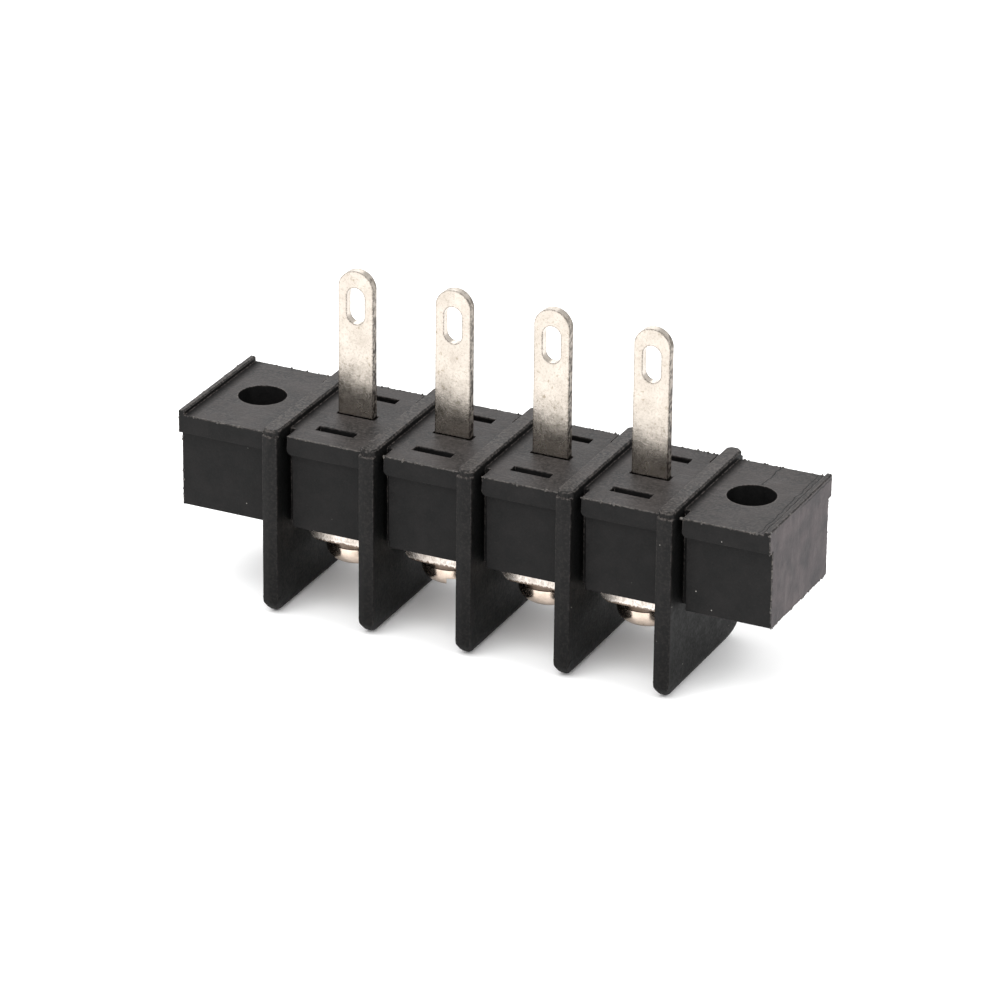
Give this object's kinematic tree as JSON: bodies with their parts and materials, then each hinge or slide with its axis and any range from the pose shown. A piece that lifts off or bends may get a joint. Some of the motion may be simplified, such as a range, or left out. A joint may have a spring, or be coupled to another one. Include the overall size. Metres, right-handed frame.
{
  "type": "barrier terminal block",
  "caption": "Barrier strip terminal block with screw and plate wire clamps below, upright eyelet solder tails above, tall stand-off barriers between poles and a plain fixing hole in each end.",
  "frame": {"origin": "on the plane of the barrier tips, below the middle of the moulding's length and depth", "axes": "+X along the row of poles, -Y the front, +Z from the barrier tips towards the solder tails"},
  "size_m": [0.057, 0.0156, 0.0311],
  "materials": {
    "moulding": "black glass-filled moulding, satin on drawn faces, rough on the cut ends",
    "tinned_brass": "bright tin plating over stamped brass strip",
    "plated_steel": "nickel-plated stamped steel",
    "spring_steel": "plated spring steel",
    "screw_steel": "nickel-plated cold-headed steel"
  },
  "bodies": {
    "root": {"housing": "moulding", "contact_1": "tinned_brass", "contact_2": "tinned_brass", "contact_3": "tinned_brass", "contact_4": "tinned_brass"},
    "clamp_1": {"clamp_plate_1": "plated_steel", "lock_washer_1": "spring_steel"},
    "clamp_2": {"clamp_plate_2": "plated_steel", "lock_washer_2": "spring_steel"},
    "clamp_3": {"clamp_plate_3": "plated_steel", "lock_washer_3": "spring_steel"},
    "clamp_4": {"clamp_plate_4": "plated_steel", "lock_washer_4": "spring_steel"},
    "screw_1": {"screw_1": "screw_steel"},
    "screw_2": {"screw_2": "screw_steel"},
    "screw_3": {"screw_3": "screw_steel"},
    "screw_4": {"screw_4": "screw_steel"}
  },
  "joints": [
    {"name": "clamp_1_slide", "type": "slide", "parent": "root", "child": "clamp_1", "axis": [0, 0, -1], "range_m": [0, 0.0025]},
    {"name": "clamp_2_slide", "type": "slide", "parent": "root", "child": "clamp_2", "axis": [0, 0, -1], "range_m": [0, 0.0025]},
    {"name": "clamp_3_slide", "type": "slide", "parent": "root", "child": "clamp_3", "axis": [0, 0, -1], "range_m": [0, 0.0025]},
    {"name": "clamp_4_slide", "type": "slide", "parent": "root", "child": "clamp_4", "axis": [0, 0, -1], "range_m": [0, 0.0025]},
    {"name": "screw_1_turn", "type": "hinge", "parent": "clamp_1", "child": "screw_1", "pos_m": [-0.01425, 0.0002, 0.0049], "axis": [0, 0, -1], "range_deg": [0, 1800]},
    {"name": "screw_2_turn", "type": "hinge", "parent": "clamp_2", "child": "screw_2", "pos_m": [-0.00475, 0.0002, 0.0049], "axis": [0, 0, -1], "range_deg": [0, 1800]},
    {"name": "screw_3_turn", "type": "hinge", "parent": "clamp_3", "child": "screw_3", "pos_m": [0.00475, 0.0002, 0.0049], "axis": [0, 0, -1], "range_deg": [0, 1800]},
    {"name": "screw_4_turn", "type": "hinge", "parent": "clamp_4", "child": "screw_4", "pos_m": [0.01425, 0.0002, 0.0049], "axis": [0, 0, -1], "range_deg": [0, 1800]}
  ],
  "couplings": [
    {"joint": "screw_1_turn", "follows": "clamp_1_slide", "rad_per_m": 12566},
    {"joint": "screw_2_turn", "follows": "clamp_2_slide", "rad_per_m": 12566},
    {"joint": "screw_3_turn", "follows": "clamp_3_slide", "rad_per_m": 12566},
    {"joint": "screw_4_turn", "follows": "clamp_4_slide", "rad_per_m": 12566}
  ]
}
